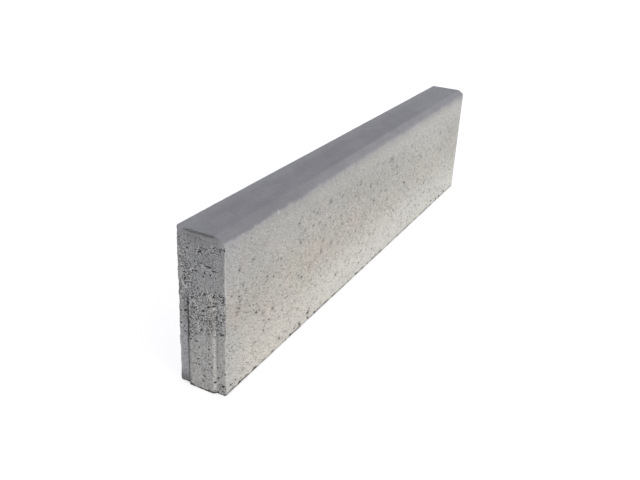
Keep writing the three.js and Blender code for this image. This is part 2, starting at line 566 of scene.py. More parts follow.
# Bites and pits along the chamfered face's foot, in mm: along, up, width and height.
BED_BITES = (
    (12, 14, 5, 3.2),
    (15, 9, 4, 2.4),
    (35, 4, 6, 4),
    (70, 3.5, 4, 2.6),
    (101, 3, 6, 4),
    (125, 5, 4, 3),
    (145, 17, 5, 3),
    (180, 4, 6, 6),
    (192, 10, 5, 2.4),
    (210, 8, 7, 4),
    (237, 16, 6, 3.4),
    (237, 7, 7, 4),
    (262, 4, 6, 4),
    (280, 2, 7, 4),
    (300, 3, 7, 4),
    (427, 4, 10, 4),
    (437, 24, 5, 2),
    (457, 3, 7, 4),
    (480, 3, 7, 4),
    (505, 3, 7, 4),
    (545, 3, 6, 4),
    (705, 3.5, 6, 2.8),
    (738, 3, 6, 4),
    (812, 4, 9, 5),
    (840, 14, 8, 4),
    (875, 7, 9, 5),
    (897, 7, 6, 4),
    (932, 8, 12, 5),
)


FACE_VOID_DEPTH = 0.6  # of the width or the height, whichever is less
END_VOID_DEPTH = 0.9
SCATTERED_DEPTH = 0.8  # of the height
BITE_DEPTH = 0.5  # of the height
BITE_TILT = -0.4  # in radians
SCATTER_SPACING = 12 * MM  # voids scattered over a long face keep this far apart


def chosen_size(rng, small, large):
    """A size between the two, with many more small ones than large."""
    return small * (large / small) ** (rng.random() ** 2.2)


def tongue_end_x(across, up):
    """Where the tongue end's face is at that place: on the nose, on a flank or on the joint face."""
    on_flank = ramp(tongue_reach(across, up), NOSE_HALF_WIDTH, ROOT_HALF_WIDTH)
    return NOSE_X + TONGUE_PROJECTION * on_flank


def on_face(along, up):
    """A place on the chamfered face, from mm along and up."""
    return Vector((TONGUE_FACE_X + along * MM, FACE_Y, up * MM))


def sink_chosen_voids(hollows):
    forward = Vector((0, -1, 0))
    for along, up, width, height, tilt in FACE_VOIDS:
        depth = FACE_VOID_DEPTH * min(width, height) * MM
        tilt = math.radians(tilt)
        hollows.sink(on_face(along, up), forward, width * MM, height * MM, depth, tilt)
    for along, up, width, height in BED_BITES:
        depth = BITE_DEPTH * height * MM
        hollows.sink(on_face(along, up), forward, width * MM, height * MM, depth, BITE_TILT, lumpy=0.6)
    for across, up, width, height, tilt in END_VOIDS:
        place = Vector((tongue_end_x(across * MM, up * MM), across * MM, up * MM))
        depth = END_VOID_DEPTH * min(width, height) * MM
        tilt = math.radians(tilt)
        hollows.sink(place, Vector((-1, 0, 0)), width * MM, height * MM, depth, tilt)


def sink_face_voids(hollows, y, outward, count):
    """Scatters voids over one long face: few near the top, most at mid height, all leaning one way."""
    rng = hollows.random
    places = []
    while len(places) < count:
        along = rng.uniform(LOW.x + 6 * MM, HIGH.x - 3 * MM)
        place = Vector((along, y, rng.uniform(3 * MM, CHAMFER_FOOT_Z)))
        height = place.z + 30 * MM * (lumps(place, 80 * MM, 31) - 0.5)
        rammed = 40 * MM * (1 - ramp(place.x, -450 * MM, 0))
        chance = 0.12 * (1 - ramp(height, 185 * MM - rammed, 215 * MM - rammed))
        chance += 0.88 * band(height, 50 * MM, 200 * MM - rammed, 22 * MM)
        chance *= all((place - other).length > SCATTER_SPACING for other in places)
        width = chosen_size(rng, 2.1, 4.4) * MM
        height = width * rng.uniform(0.27, 0.42)
        depth = SCATTERED_DEPTH * height
        tilt = -outward.y * rng.gauss(-0.55, 0.12)
        if rng.random() < chance and hollows.sink(place, outward, width, height, depth, tilt):
            places.append(place)


def sink_end_voids(hollows, count, at_tongue):
    """Scatters voids over an end face, where the mix is open."""
    rng = hollows.random
    outward = Vector((-1 if at_tongue else 1, 0, 0))
    made = 0
    while made < count:
        across = rng.uniform(FACE_Y + 1 * MM, BACK_Y - 1 * MM)
        place = Vector((0, across, rng.uniform(2 * MM, TOP_Z - 8 * MM)))
        reach = tongue_reach(place.y, place.z)
        if at_tongue:
            place.x = tongue_end_x(place.y, place.z)
        else:
            in_groove = reach < GROOVE_FLOOR_HALF_WIDTH + 0.5 * MM
            place.x = GROOVE_FACE_X - GROOVE_DEPTH * in_groove
        chance = openness(place) ** 1.5
        width = chosen_size(rng, 1.3, 3.6) * MM
        height = width * rng.uniform(0.3, 0.75)
        tilt = rng.gauss(-0.3, 0.3)
        on_flank = NOSE_HALF_WIDTH < reach < ROOT_HALF_WIDTH + 1.5 * MM
        kept_whole = on_flank and (place.y > 0 or not at_tongue)
        if kept_whole or rng.random() > chance:
            continue
        depth = END_VOID_DEPTH * height
        if hollows.sink(place, outward, width, height, depth, tilt, lumpy=0.55):
            made += 1


def undercut_top(hollows):
    """The mix stands back under the rammed skin along the top of the tongue end."""
    place = Vector((TONGUE_FACE_X, 1 * MM, TOP_Z - 3.5 * MM))
    hollows.sink(place, Vector((-1, 0, 0)), 54 * MM, 3.8 * MM, 1.1 * MM, detail=5)


BED_CHIP_COUNT = 150  # along the bed's two long arrises
UPRIGHT_CHIP_COUNT = 60
END_CHIP_COUNT = 40  # along the bed's arrises at the ends


def chip(hollows, place, outward, size, width, height, depth):
    """Breaks a bite out of an arris. Its width, height and depth are shares of its size."""
    outward = outward.normalized()
    place += outward * 0.2 * size
    hollows.sink(place, outward, size * width, size * height, size * depth, lumpy=0.5)


def chip_arrises(hollows):
    """Chips the bed's long arrises, the upright ones and the bed's arrises at the ends."""
    rng = hollows.random
    for _ in range(BED_CHIP_COUNT):
        side = rng.choice((-1, 1))
        along = rng.uniform(TONGUE_FACE_X, GROOVE_FACE_X)
        place = Vector((along, FACE_Y if side < 0 else BACK_Y, 0))
        size = chosen_size(rng, 2, 6) * MM
        chip(hollows, place, Vector((0, side, -1)), size, 1, 0.5, 0.35)
    for _ in range(UPRIGHT_CHIP_COUNT):
        end = rng.choice((-1, 1))
        side = rng.choice((-1, 1, 1))
        along = TONGUE_FACE_X if end < 0 else GROOVE_FACE_X
        up = rng.uniform(4 * MM, TOP_Z - 18 * MM)
        place = Vector((along, FACE_Y if side < 0 else BACK_Y, up))
        size = chosen_size(rng, 2, 5.5) * MM
        chip(hollows, place, Vector((end, side, 0)), size, 0.6, 1, 0.4)
    for _ in range(END_CHIP_COUNT):
        end = rng.choice((-1, 1))
        along = TONGUE_FACE_X if end < 0 else GROOVE_FACE_X
        place = Vector((along, rng.uniform(FACE_Y + 4 * MM, BACK_Y - 4 * MM), 0))
        size = chosen_size(rng, 2.5, 7) * MM
        chip(hollows, place, Vector((end, 0, -1)), size, 1, 0.55, 0.4)


# ---------------------------------------------------------------------------------------------
# Marks of wear, stored at each point for the material to read, mostly from 0 to 1:
# hollow     how far it is inside a void, a gap or a chip, for painted shade and dirt
# end        1 on the end faces
# loose      how open the mix is there
# rubbed  how much an arris is rubbed pale, partly a painted highlight
# sheltered  how much painted shade, dust and damp lie there
# wrapped    where the rammed skin runs down over the worn corner
# tint       pinker mix above 0, greener below
# shade      darker mix above 0, paler below

MARKS = ("end", "loose", "rubbed", "sheltered", "wrapped", "tint", "shade")
END_MARKS_REACH = 8 * MM  # from a joint face, which takes in the groove's floor
RIM_TONE = 0.3  # of what the wall of a hollow has
GAP_TONE = 0.85

# Clouds in the mix of the chamfered face, in mm: along, up, reach along and reach up. Then how much
# pinker the mix is, or greener, below 0.
TINTS = (
    (240, 105, 240, 75, 0.8),
    (800, 112, 190, 45, 0.8),
    (560, 95, 110, 90, -0.8),
    (760, 40, 200, 42, -0.6),
    (425, 180, 105, 42, -0.9),
    (18, 133, 42, 38, 0.7),
    (2, 22, 24, 26, -1.0),
    (18, 72, 30, 50, -1.2),
)
# The same, with how much darker the mix is, or paler, below 0.
SHADES = (
    (460, 185, 240, 42, 1.0),
    (940, 172, 80, 30, 0.6),
    (50, 188, 60, 45, 0.5),
    (10, 135, 40, 36, 0.35),
    (155, 113, 85, 30, -0.7),
    (600, 22, 110, 20, -0.4),
)


def store(mesh, name, values):
    mesh.attributes.new(name, "FLOAT", "POINT").data.foreach_set("value", values)


def mark_hollows(mesh):
    """Reads the hollows from the faces' material index and clears it. They are darkened with painted shade
    and dirt.
    """
    inside = [0.0] * len(mesh.vertices)
    outside = [False] * len(mesh.vertices)
    for polygon in mesh.polygons:
        tone = KINDS[polygon.material_index]
        for v in polygon.vertices:
            inside[v] = max(inside[v], tone)
            outside[v] = outside[v] or tone == 0
    hollow = [w * (RIM_TONE if rim else 1.0) for w, rim in zip(inside, outside)]
    for v in mesh.vertices:
        if abs(v.normal.x) > 0.2 and off_end(v.co) < 6 * MM:
            hollow[v.index] = max(hollow[v.index], GAP_TONE * gap(v.co, openness(v.co)))
    store(mesh, "hollow", hollow)
    mesh.polygons.foreach_set("material_index", [0] * len(mesh.polygons))


def cloud(place, table):
    """How much the mix differs in tint or shade at a place on the chamfered face."""
    total = 0.0
    if place.y < FACE_Y + 4 * MM:
        for along, up, reach_along, reach_up, strength in table:
            beside = (place.x - TONGUE_FACE_X - along * MM) / (reach_along * MM)
            above = (place.z - up * MM) / (reach_up * MM)
            total += strength * (1 - ramp(math.hypot(beside, above + 0.35 * beside), 0.3, 1.2))
    return total


def tongue_dust_and_shade(place):
    """Painted shade, with some dust: most in the corner by the tongue's back flank, which is in shadow. Less
    low at the back, under the rammed lip as its shadow, high up, and beside and on the front flank."""
    ragged = 1.6 * MM * (lumps(place, 5 * MM, 42) - 0.5) * ramp(place.z, 60 * MM, 95 * MM)
    flank = (NOSE_HALF_WIDTH - 0.6 * MM, ROOT_HALF_WIDTH + 0.3 * MM)
    # Painted shadow along the back flank, which faces away from the key.
    back_flank = band(place.y + ragged, *flank, 0.8 * MM)
    back_flank *= 1 - ramp(place.z, TONGUE_HEAD_Z - 6 * MM, TONGUE_HEAD_Z + 10 * MM)
    back_flank *= 0.75 + 0.25 * ramp(place.z, 45 * MM, 95 * MM)
    low_back = 0.6 * (1 - ramp(place.z, 6 * MM, 25 * MM)) * ramp(place.y, 15 * MM, 20 * MM)
    # Painted shadow under the rammed lip.
    under_lip = 0.22 * band(place.z, 236 * MM, 243 * MM, 3 * MM)
    under_lip *= band(place.y, -31 * MM, 20 * MM, 3 * MM)
    high_up = 0.1 * band(place.z, 186 * MM, 236 * MM, 3 * MM) * band(place.y, -20 * MM, 13 * MM, 4 * MM)
    # Painted shade at the foot of the front flank.
    beside_flank = 0.1 + 0.22 * band(place.z, 52 * MM, 130 * MM, 6 * MM)
    beside_flank *= 1 - ramp(place.z, 125 * MM, 145 * MM)
    beside_flank *= band(-place.y, 23.8 * MM, 27.5 * MM, 0.9 * MM)
    broken = 0.3 * ramp(lumps(place, 3.5 * MM, 43), 0.42, 0.6)
    broken *= band(place.z, 92 * MM, 164 * MM, 4 * MM)
    # Painted shade on the rounded edge of the nose.
    edge = 0.2 * band(-place.y, 19.4 * MM, 20.9 * MM, 0.4 * MM)
    front_flank = max(broken, edge) * band(-place.y, 19.4 * MM, 24.5 * MM, 0.6 * MM)
    return max(back_flank, low_back, under_lip, high_up, beside_flank, front_flank)


def groove_dust_and_shade(place):
    """Painted shade, with some dust: most in the corner between the groove's floor and its flank."""
    reach = tongue_reach(place.y, place.z)
    corner = (GROOVE_FLOOR_HALF_WIDTH - 1.6 * MM, GROOVE_FLOOR_HALF_WIDTH + 1.4 * MM)
    flank = (GROOVE_FLOOR_HALF_WIDTH - 1 * MM, GROOVE_MOUTH_HALF_WIDTH)
    return max(0.42 * band(reach, *corner, 1 * MM), 0.2 * band(reach, *flank, 1 * MM))


def arris_rub_and_highlight(place):
    """The upright arrises, pale from rubs and as painted highlight where they catch light, and the chamfer's
    foot, worn pale most by the tongue end.
    """
    in_front = place.y < 0
    upright = 1 - ramp(max(off_end(place), off_side(place)), 1 * MM, 3.5 * MM)
    upright *= 1 if in_front else 0.4
    off_foot = place.z - CHAMFER_FOOT_Z
    foot = 0.2 * (1 - ramp(abs(off_foot + 4 * MM), 0.5 * MM, 3 * MM)) * in_front
    patches = ramp(lumps(place, 12 * MM, 41), 0.3, 0.6)
    by_tongue = 0.7 * (1 - ramp(place.x - TONGUE_FACE_X, 12 * MM, 28 * MM)) * in_front
    by_tongue *= 1 - ramp(abs(off_foot + 1 * MM), 0.5 * MM, 2.5 * MM)
    return max(max(upright, foot) * patches, by_tongue)


def joint_rub_and_highlight(place):
    """Painted highlight, with some rubbing: the groove's mouth, and low down the middle of the tongue's
    front flank, which faces the key.
    """
    if place.x > 0:
        reach = tongue_reach(place.y, place.z) - GROOVE_MOUTH_HALF_WIDTH
        return 0.55 * band(reach, 0.4 * MM, 2.2 * MM, 0.8 * MM)
    return band(-place.y, 21.1 * MM, 22.6 * MM, 0.6 * MM) * (1 - ramp(place.z, 86 * MM, 100 * MM))


def wrapped_corner(place):
    over = ramp(place.z + 0.9 * (place.y - 26 * MM), 246 * MM, 252 * MM)
    return over * (place.x < 0) * (place.y > 20 * MM)


def mark_wear(mesh):
    marks = {name: [] for name in MARKS}
    for v in mesh.vertices:
        place = v.co
        at_end = 0.0
        shade_and_dust = 0.0
        if off_end(place) < END_MARKS_REACH:
            at_end = ramp(abs(v.normal.x), 0.55, 0.8)
            shade_and_dust = groove_dust_and_shade(place) if place.x > 0 else tongue_dust_and_shade(place)
        marks["end"].append(at_end)
        marks["loose"].append(at_end * openness(place))
        marks["rubbed"].append(max(arris_rub_and_highlight(place), joint_rub_and_highlight(place) * at_end))
        marks["sheltered"].append(shade_and_dust)
        marks["wrapped"].append(wrapped_corner(place))
        marks["tint"].append(cloud(place, TINTS))
        marks["shade"].append(cloud(place, SHADES))
    for name, values in marks.items():
        store(mesh, name, values)


# ---------------------------------------------------------------------------------------------
# The kerb, cast, worn down, pitted and chipped.

FACE_VOID_COUNT = 320
BACK_VOID_COUNT = 260
TONGUE_END_VOID_COUNT = 60  # beside the chosen ones
GROOVE_END_VOID_COUNT = 130


def cast_kerb():
    block = moulded_block()
    wear_down(block)
    mesh = bpy.data.meshes.new("kerb")
    block.to_mesh(mesh)
    block.free()
    for _ in KINDS:
        mesh.materials.append(None)
    kerb = bpy.data.objects.new("kerb", mesh)
    bpy.context.scene.collection.objects.link(kerb)

    voids = Hollows(seed=5)
    sink_chosen_voids(voids)
    sink_end_voids(voids, TONGUE_END_VOID_COUNT, at_tongue=True)
    sink_end_voids(voids, GROOVE_END_VOID_COUNT, at_tongue=False)
    sink_face_voids(voids, FACE_Y, Vector((0, -1, 0)), FACE_VOID_COUNT)
    sink_face_voids(voids, BACK_Y, Vector((0, 1, 0)), BACK_VOID_COUNT)
    voids.cut_from(kerb, VOID)
    chips = Hollows(seed=9)
    undercut_top(chips)
    chip_arrises(chips)
    chips.cut_from(kerb, CHIP)

    mesh = kerb.data
    mark_hollows(mesh)
    mark_wear(mesh)
    mesh.materials.clear()
    mesh.polygons.foreach_set("use_smooth", [True] * len(mesh.polygons))
    mesh.set_sharp_from_angle(angle=math.radians(45))
    return kerb


# ---------------------------------------------------------------------------------------------
# Finish


def linear(hex_colour):
    """An sRGB hex colour as linear red, green, blue and alpha."""
    parts = [int(hex_colour[i : i + 2], 16) / 255 for i in (1, 3, 5)]
    return tuple(p / 12.92 if p <= 0.04045 else ((p + 0.055) / 1.055) ** 2.4 for p in parts) + (1.0,)


def add(tree, kind, settings, *values, **named):
    """Adds a node with its settings. Values go to its inputs, in order or by name, and a node or
    socket among them is linked."""
    node = tree.nodes.new(kind)
    for name, value in settings.items():
        setattr(node, name, value)
    inputs = [socket for socket in node.inputs if socket.enabled]
    pairs = list(zip(inputs, values))
    pairs += [(node.inputs[name.replace("_", " ")], value) for name, value in named.items()]
    for socket, value in pairs:
        if isinstance(value, bpy.types.Node):
            value = next(out for out in value.outputs if out.enabled)
        if isinstance(value, bpy.types.NodeSocket):
            tree.links.new(value, socket)
        else:
            socket.default_value = value
    return node


MIX = {"data_type": "RGBA"}
RAMP = {"interpolation_type": "SMOOTHSTEP"}
TIMES = {"operation": "MULTIPLY"}
TIMES_PLUS = {"operation": "MULTIPLY_ADD"}
PLUS = {"operation": "ADD"}
MINUS = {"operation": "SUBTRACT"}
BELOW = {"operation": "LESS_THAN"}
MAXIMUM = {"operation": "MAXIMUM"}
AS_TEXTURE = {"vector_type": "TEXTURE"}


def places_and_marks(tree):
    """Sockets for a point's place on the kerb and for each of its marks of wear. The shifted place
    keeps a second pattern from lying as the first does."""
    place = add(tree, "ShaderNodeTexCoord", {}).outputs["Object"]
    split = add(tree, "ShaderNodeSeparateXYZ", {}, place).outputs
    at = SimpleNamespace(place=place, along=split["X"], across=split["Y"], height=split["Z"])
    at.shifted = add(tree, "ShaderNodeMapping", {}, place, (0.37, 0.11, 0.23))
    for name in (*MARKS, "hollow"):
        setattr(at, name, add(tree, "ShaderNodeAttribute", {"attribute_name": name}).outputs["Fac"])
    at.off_ends = add(tree, "ShaderNodeMath", MINUS, 1.0, at.end)
    return at


def cement_paste(tree, at):
    """Cement paste: grey, in clouds of paler, pinker and greener mix, and paler towards the bed, partly
    as painted light bounced up from the floor.
    """
    clouds = add(tree, "ShaderNodeTexNoise", {}, at.place, 1 / (110 * MM), 3.0)
    cloudy = add(tree, "ShaderNodeMapRange", RAMP, clouds, 0.35, 0.65)
    colour = add(tree, "ShaderNodeMix", MIX, cloudy, linear("#B1AFAA"), linear("#BBB9B3"))

    pink = add(tree, "ShaderNodeTexNoise", {}, at.place, 1 / (55 * MM), 2.0)
    pink_cloud = add(tree, "ShaderNodeMapRange", {}, at.tint, 0.0, 1.0, 0.0, 0.14)
    pink = add(tree, "ShaderNodeMath", PLUS, pink, pink_cloud)
    pinkish = add(tree, "ShaderNodeMapRange", RAMP, pink, 0.5, 0.76, 0.0, 0.5)
    colour = add(tree, "ShaderNodeMix", MIX, pinkish, colour, linear("#C8BBB4"))

    green = add(tree, "ShaderNodeTexNoise", {}, at.shifted, 1 / (48 * MM), 2.0)
    green_cloud = add(tree, "ShaderNodeMapRange", {}, at.tint, 0.0, -1.0, 0.0, 0.14)
    green = add(tree, "ShaderNodeMath", PLUS, green, green_cloud)
    greenish = add(tree, "ShaderNodeMapRange", RAMP, green, 0.52, 0.7, 0.0, 0.5)
    colour = add(tree, "ShaderNodeMix", MIX, greenish, colour, linear("#B2B5AA"))

    neutral = add(tree, "ShaderNodeMapRange", RAMP, at.height, 120 * MM, 185 * MM, 0.0, 0.6)
    colour = add(tree, "ShaderNodeMix", MIX, neutral, colour, linear("#B5B6B6"))
    # Paler low down, partly painted light bounced up from the floor.
    low_down = add(tree, "ShaderNodeMath", TIMES_PLUS, clouds, 60 * MM, at.height)
    pale = add(tree, "ShaderNodeMapRange", RAMP, low_down, 50 * MM, 165 * MM, 0.85, 0.0)
    return add(tree, "ShaderNodeMix", MIX, pale, colour, linear("#D4D2CB"))


def tones_along(tree, at, colour):
    """The mix is greyer high up, most near the tongue end, and paler towards the far end, palest low down,
    partly as painted light bounced up from the floor. Clouds of it are darker or paler. Beside the tongue
    end it is cooler, unless it is pink."""
    near = add(tree, "ShaderNodeMapRange", RAMP, at.along, -500 * MM, 50 * MM, 0.5, 0.1)
    high_up = add(tree, "ShaderNodeMapRange", RAMP, at.height, 165 * MM, 215 * MM)
    greyer = add(tree, "ShaderNodeMath", TIMES, near, high_up)
    colour = add(tree, "ShaderNodeMix", MIX, greyer, colour, linear("#A0A19F"))
    far = add(tree, "ShaderNodeMapRange", RAMP, at.along, -350 * MM, 300 * MM, 0.0, 0.4)
    colour = add(tree, "ShaderNodeMix", MIX, far, colour, linear("#CCCECA"))
    # Palest low down, partly painted light bounced up from the floor.
    beyond = add(tree, "ShaderNodeMapRange", RAMP, at.along, -420 * MM, -100 * MM, 0.0, 0.6)
    below = add(tree, "ShaderNodeMapRange", RAMP, at.height, 30 * MM, 110 * MM, 1.0, 0.0)
    palest = add(tree, "ShaderNodeMath", TIMES, beyond, below)
    colour = add(tree, "ShaderNodeMix", MIX, palest, colour, linear("#DBDCD8"))

    darker = add(tree, "ShaderNodeMapRange", {}, at.shade, 0.0, 1.0, 0.0, 0.2)
    colour = add(tree, "ShaderNodeMix", MIX, darker, colour, linear("#8B8984"))
    paler = add(tree, "ShaderNodeMapRange", {}, at.shade, 0.0, -1.0, 0.0, 0.25)
    colour = add(tree, "ShaderNodeMix", MIX, paler, colour, linear("#D8D6D0"))

    cooler = add(tree, "ShaderNodeMapRange", RAMP, at.along, -500 * MM, -435 * MM, 0.45, 0.0)
    cooler = add(tree, "ShaderNodeMath", TIMES, cooler, at.off_ends)
    unless_pink = add(tree, "ShaderNodeMapRange", {}, at.tint, 0.0, 0.4, 1.0, 0.1)
    cooler = add(tree, "ShaderNodeMath", TIMES, cooler, unless_pink)
    return add(tree, "ShaderNodeMix", MIX, cooler, colour, linear("#A8ABB0")), palest


def fine_mix(tree, at, palest):
    """Patterns of the mix, drawn out along the kerb, and how coarse it is. It grows finer towards the
    rammed top, from lower down near the tongue end, and is a little finer where it is palest."""
    turn = (0, math.radians(34), 0)
    laid = add(tree, "ShaderNodeMapping", AS_TEXTURE, at.place, Rotation=turn, Scale=(2.15, 1, 0.82))
    finer_from = add(tree, "ShaderNodeMapRange", {}, at.along, -450 * MM, -50 * MM, 120 * MM, 180 * MM)
    coarse = add(tree, "ShaderNodeMapRange", RAMP, at.height, finer_from, 224 * MM, 1.0, 0.28)
    patch = add(tree, "ShaderNodeTexNoise", {}, at.shifted, 1 / (42 * MM), 2.0)
    patch = add(tree, "ShaderNodeMapRange", RAMP, patch, 0.38, 0.62, 0.7, 1.15)
    coarse = add(tree, "ShaderNodeMath", TIMES, coarse, patch)
    even = add(tree, "ShaderNodeMapRange", {}, palest, 0.0, 0.6, 1.0, 0.8)
    coarse = add(tree, "ShaderNodeMath", TIMES, coarse, even)
    mottle = add(tree, "ShaderNodeTexNoise", {}, laid, 1 / (6 * MM), 4.0, 0.7)
    flecks = add(tree, "ShaderNodeTexNoise", {}, laid, 1 / (2.6 * MM), 2.0, 0.6)
    return SimpleNamespace(laid=laid, coarse=coarse, mottle=mottle, flecks=flecks)


def mottling_and_sand(tree, at, mix, colour):
    """Mottling, dark and pale flecks, blotches that show more further along, and single grains of
    sand, some dark, some bright. Most sand is too fine to show, so its grains are drawn in cells of
    1.7 mm."""
    mottled = add(tree, "ShaderNodeMapRange", RAMP, mix.mottle, 0.38, 0.62, 0.0, 0.11)
    mottled = add(tree, "ShaderNodeMath", TIMES, mottled, mix.coarse)
    colour = add(tree, "ShaderNodeMix", MIX, mottled, colour, linear("#8F8D89"))
    dark_fleck = add(tree, "ShaderNodeMapRange", RAMP, mix.flecks, 0.54, 0.66, 0.0, 0.46)
    dark_fleck = add(tree, "ShaderNodeMath", TIMES, dark_fleck, mix.coarse)
    colour = add(tree, "ShaderNodeMix", MIX, dark_fleck, colour, linear("#7E7B76"))
    blotches = add(tree, "ShaderNodeTexNoise", {}, mix.laid, 1 / (6 * MM), 2.0, 0.6)
    blotch = add(tree, "ShaderNodeMapRange", RAMP, blotches, 0.55, 0.68)
    blotch_tone = add(tree, "ShaderNodeMapRange", RAMP, at.along, -350 * MM, 150 * MM, 0.1, 0.42)
    blotch_tone = add(tree, "ShaderNodeMath", TIMES, blotch_tone, mix.coarse)
    blotch = add(tree, "ShaderNodeMath", TIMES, blotch, blotch_tone)
    colour = add(tree, "ShaderNodeMix", MIX, blotch, colour, linear("#87847F"))
    pale_fleck = add(tree, "ShaderNodeMapRange", RAMP, mix.flecks, 0.34, 0.46, 0.44, 0.0)
    pale_fleck = add(tree, "ShaderNodeMath", TIMES, pale_fleck, mix.coarse)
    colour = add(tree, "ShaderNodeMix", MIX, pale_fleck, colour, linear("#D8D6D0"))
    grains = add(tree, "ShaderNodeTexVoronoi", {}, mix.laid, 1 / (1.7 * MM))
    grain = add(tree, "ShaderNodeSeparateColor", {}, grains.outputs["Color"])
    dark_grain = add(tree, "ShaderNodeMapRange", RAMP, grain.outputs["Red"], 0.84, 0.96, 0.0, 0.42)
    colour = add(tree, "ShaderNodeMix", MIX, dark_grain, colour, linear("#6C6A66"))
    pale_grain = add(tree, "ShaderNodeMapRange", RAMP, grain.outputs["Green"], 0.84, 0.96, 0.0, 0.42)
    return add(tree, "ShaderNodeMix", MIX, pale_grain, colour, linear("#DAD8D2"))


def end_tones(tree, at, colour):
    """The ends are cooler grey, most of all high up, with a paler strip low down at the back of the
    tongue end."""
    greyish = add(tree, "ShaderNodeMath", TIMES, at.end, 0.45)
    colour = add(tree, "ShaderNodeMix", MIX, greyish, colour, linear("#C9CBCA"))
    cool = add(tree, "ShaderNodeMapRange", RAMP, at.height, 90 * MM, 225 * MM, 0.0, 0.74)
    cool = add(tree, "ShaderNodeMath", TIMES, cool, at.end)
    colour = add(tree, "ShaderNodeMix", MIX, cool, colour, linear("#9C9E9F"))
    back_strip = add(tree, "ShaderNodeMapRange", RAMP, at.across, 24.5 * MM, 27 * MM, 0.0, 0.45)
    back_strip = add(tree, "ShaderNodeMath", TIMES, back_strip, at.end)
    low_strip = add(tree, "ShaderNodeMapRange", RAMP, at.height, 70 * MM, 130 * MM, 1.0, 0.0)
    back_strip = add(tree, "ShaderNodeMath", TIMES, back_strip, low_strip)
    at_tongue = add(tree, "ShaderNodeMath", BELOW, at.along, 0.0)
    back_strip = add(tree, "ShaderNodeMath", TIMES, back_strip, at_tongue)
    return add(tree, "ShaderNodeMix", MIX, back_strip, colour, linear("#CED1DA"))


def open_mix(tree, at, colour):
    """Open mix on the ends, drawn aslant: crumbs with pale crowns and bright crests of painted highlight,
    and dark cracks of painted shade.
    """
    turn = (math.radians(20), 0, 0)
    slanting = add(tree, "ShaderNodeMapping", AS_TEXTURE, at.place, Rotation=turn, Scale=(1, 1.8, 0.75))
    crumbs = add(tree, "ShaderNodeTexVoronoi", {"feature": "SMOOTH_F1"}, slanting, 1 / (1.8 * MM))
    # Painted highlight on the crumbs' crowns.
    crown_highlight = add(tree, "ShaderNodeMapRange", RAMP, crumbs, 0.15, 0.5, 0.95, 0.0)
    crown_highlight = add(tree, "ShaderNodeMath", TIMES, crown_highlight, at.loose)
    colour = add(tree, "ShaderNodeMix", MIX, crown_highlight, colour, linear("#E9E9EA"))
    crackle = add(tree, "ShaderNodeTexNoise", {}, slanting, 1 / (1.25 * MM), 1.0, 0.6)
    in_mix = add(tree, "ShaderNodeMapRange", {}, at.loose, 0.0, 0.9, 0.32, 1.0)
    in_mix = add(tree, "ShaderNodeMath", TIMES, in_mix, at.end)
    # Painted highlight on the crests.
    crest_highlight = add(tree, "ShaderNodeMapRange", RAMP, crackle, 0.41, 0.48, 0.95, 0.0)
    crest_highlight = add(tree, "ShaderNodeMath", TIMES, crest_highlight, in_mix)
    colour = add(tree, "ShaderNodeMix", MIX, crest_highlight, colour, linear("#E4E5E6"))
    # Painted shade in the cracks.
    crack_shade = add(tree, "ShaderNodeMapRange", RAMP, crackle, 0.53, 0.58, 0.0, 0.95)
    crack_shade = add(tree, "ShaderNodeMath", TIMES, crack_shade, in_mix)
    return add(tree, "ShaderNodeMix", MIX, crack_shade, colour, linear("#3C3935")), crumbs


def mould_marks(tree, at, colour):
    """Faint marks of the mould on the ends, drawn upwards."""
    drawn = add(tree, "ShaderNodeMapping", {}, at.place, Scale=(1, 1, 0.07))
    streaks = add(tree, "ShaderNodeTexNoise", {}, drawn, 1 / (4 * MM), 2.0)
    streak = add(tree, "ShaderNodeMapRange", RAMP, streaks, 0.45, 0.62, 0.0, 0.2)
    streak = add(tree, "ShaderNodeMath", TIMES, streak, at.end)
    return add(tree, "ShaderNodeMix", MIX, streak, colour, linear("#8A8883"))


